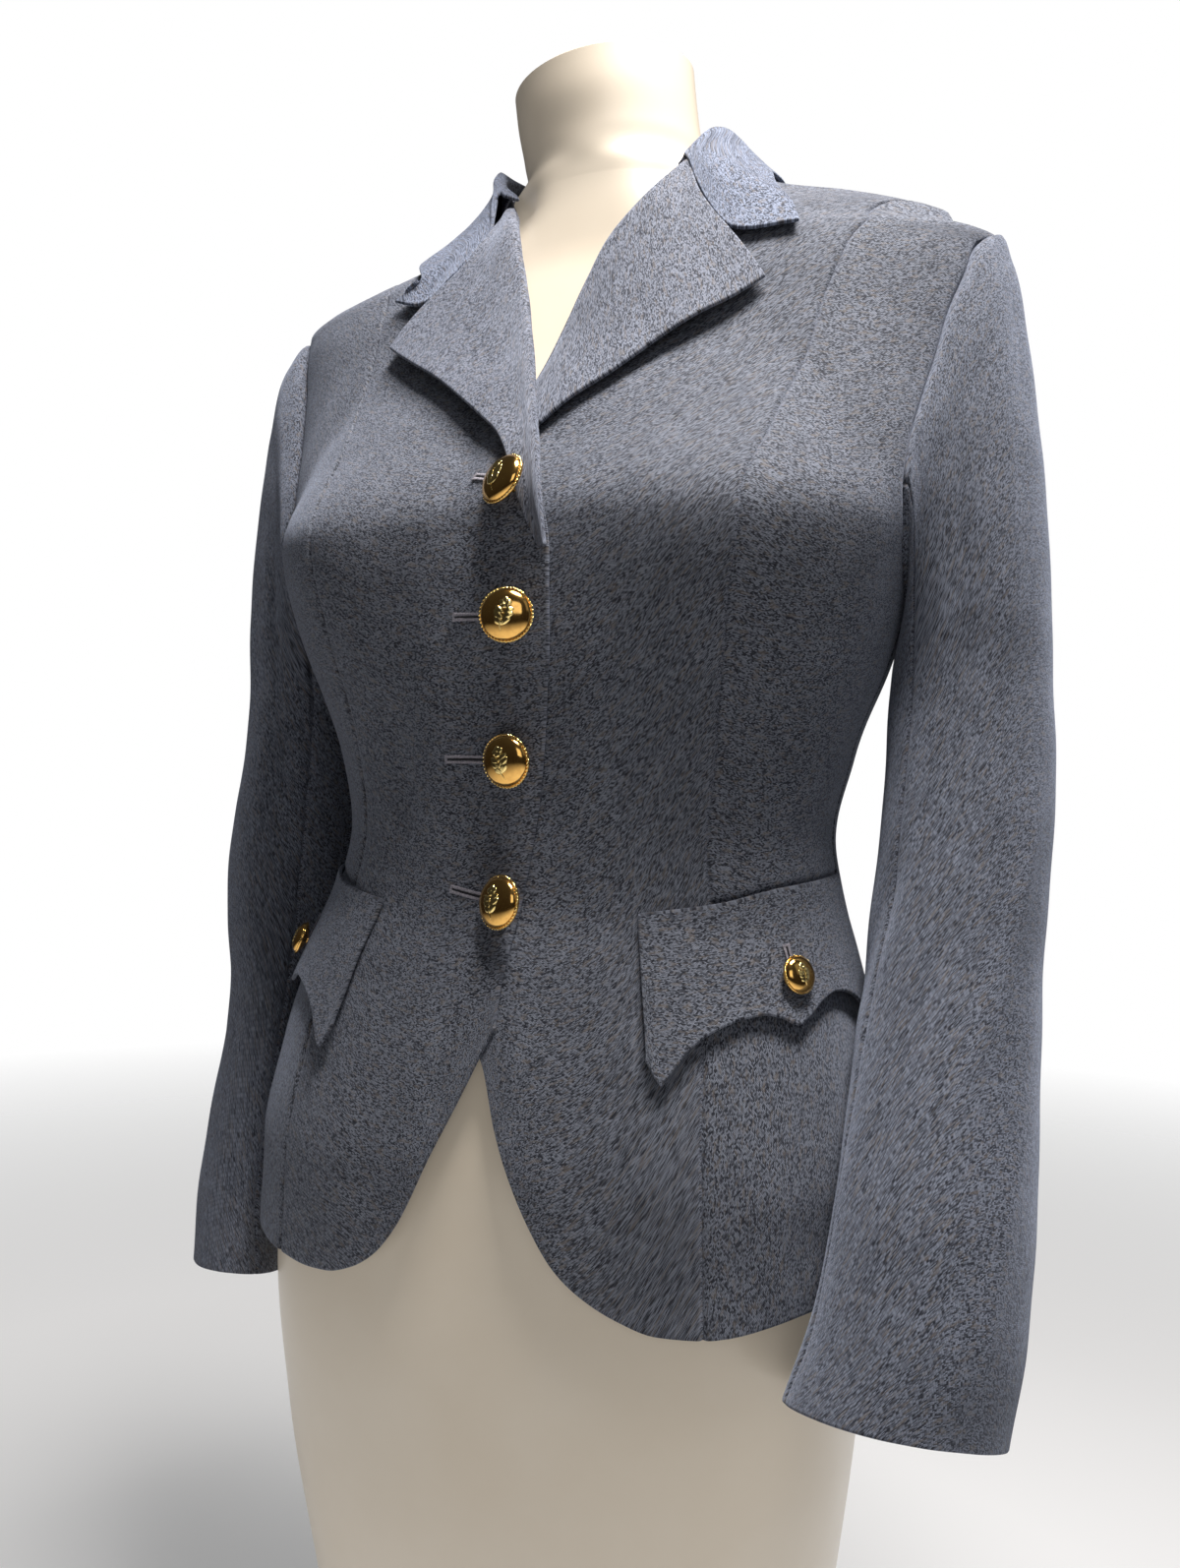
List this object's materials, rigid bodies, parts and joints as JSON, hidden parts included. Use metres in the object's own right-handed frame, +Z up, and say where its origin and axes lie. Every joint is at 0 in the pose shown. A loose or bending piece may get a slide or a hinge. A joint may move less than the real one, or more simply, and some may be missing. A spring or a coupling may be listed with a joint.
{
  "type": "military uniform jacket on a limbless dress form",
  "caption": "Fitted, single-breasted uniform jacket with notched lapels, princess seams, curved cutaway hem and pointed pocket flaps, worn by a limbless dress form on a round stand.",
  "frame": {"origin": "centre of the stand base's underside", "axes": "+Z up along the form, -Y is the jacket's front, +X is the wearer's left"},
  "size_m": [0.4659, 0.3013, 1.0218],
  "materials": {
    "body_cloth": "matt worsted twill, blue-grey heather",
    "collar_cloth": "matt worsted twill, lighter blue-grey",
    "lapel_cloth": "matt worsted twill, blue-grey heather",
    "sleeve_cloth": "matt worsted twill, blue-grey heather",
    "button_metal": "polished, gold-toned",
    "form_shell": "smooth satin cream",
    "stand_steel": "satin"
  },
  "bodies": {
    "root": {"front_right": "body_cloth", "side_front_upper_right": "body_cloth", "side_front_lower_right": "body_cloth", "back_right": "body_cloth", "sleeve_upper_right": "sleeve_cloth", "sleeve_under_right": "sleeve_cloth", "lapel_right": "lapel_cloth", "flap_right": "body_cloth", "button_flap_right": "button_metal", "front_left": "body_cloth", "side_front_upper_left": "body_cloth", "side_front_lower_left": "body_cloth", "back_left": "body_cloth", "sleeve_upper_left": "sleeve_cloth", "sleeve_under_left": "sleeve_cloth", "lapel_left": "lapel_cloth", "flap_left": "body_cloth", "button_flap_left": "button_metal", "collar": "collar_cloth", "button_front_1": "button_metal", "button_front_2": "button_metal", "button_front_3": "button_metal", "button_front_4": "button_metal", "form_torso": "form_shell", "stand_post": "stand_steel", "stand_base": "stand_steel"}
  },
  "joints": []
}
